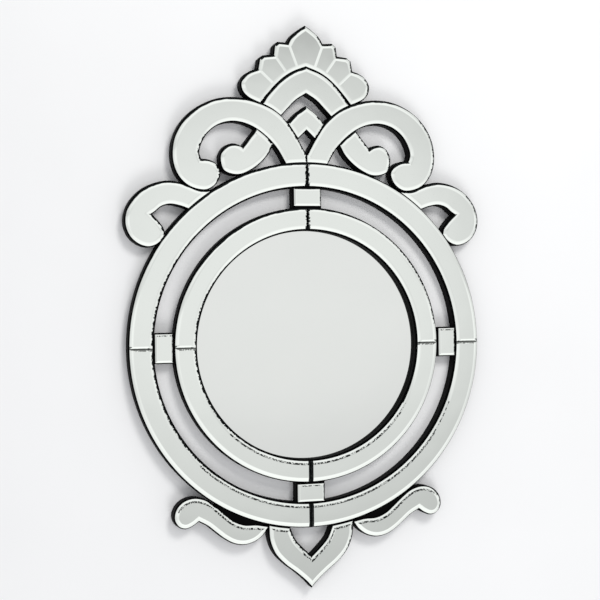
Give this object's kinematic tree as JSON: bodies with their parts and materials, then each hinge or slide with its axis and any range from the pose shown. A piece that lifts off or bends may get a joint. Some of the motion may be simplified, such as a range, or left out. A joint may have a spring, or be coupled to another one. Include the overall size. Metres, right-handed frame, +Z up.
{
  "type": "wall mirror",
  "caption": "Round wall mirror in a double ring of bevelled mirror glass, with a scrolled and fanned crest, side scrolls and a pointed pendant, on a black fretwork board made to hang on a wall.",
  "frame": {"origin": "middle of the round mirror, on the flat back of the board, where it lies against the wall", "axes": "+X to the viewer's right, +Z up towards the crest, +Y into the wall, so the glass faces -Y"},
  "size_m": [0.6028, 0.0233, 0.9174],
  "materials": {
    "black_board": "fibreboard painted satin black",
    "mirror_glass": "back-silvered float glass with polished bevels"
  },
  "bodies": {
    "root": {"backing_board": "black_board", "centre_mirror": "mirror_glass", "inner_ring_upper_right": "mirror_glass", "inner_ring_upper_left": "mirror_glass", "inner_ring_lower_left": "mirror_glass", "inner_ring_lower_right": "mirror_glass", "outer_ring_upper_right": "mirror_glass", "outer_ring_upper_left": "mirror_glass", "outer_ring_lower_left": "mirror_glass", "outer_ring_lower_right": "mirror_glass", "key_top": "mirror_glass", "key_left": "mirror_glass", "key_bottom": "mirror_glass", "key_right": "mirror_glass", "crest_scroll_right": "mirror_glass", "crest_scroll_left": "mirror_glass", "comma_scroll_right": "mirror_glass", "comma_scroll_left": "mirror_glass", "ear_scroll_right": "mirror_glass", "ear_scroll_left": "mirror_glass", "foot_scroll_right": "mirror_glass", "foot_scroll_left": "mirror_glass", "pendant": "mirror_glass", "crest_arch": "mirror_glass", "crest_chevron": "mirror_glass", "crest_fan": "mirror_glass"}
  },
  "joints": []
}
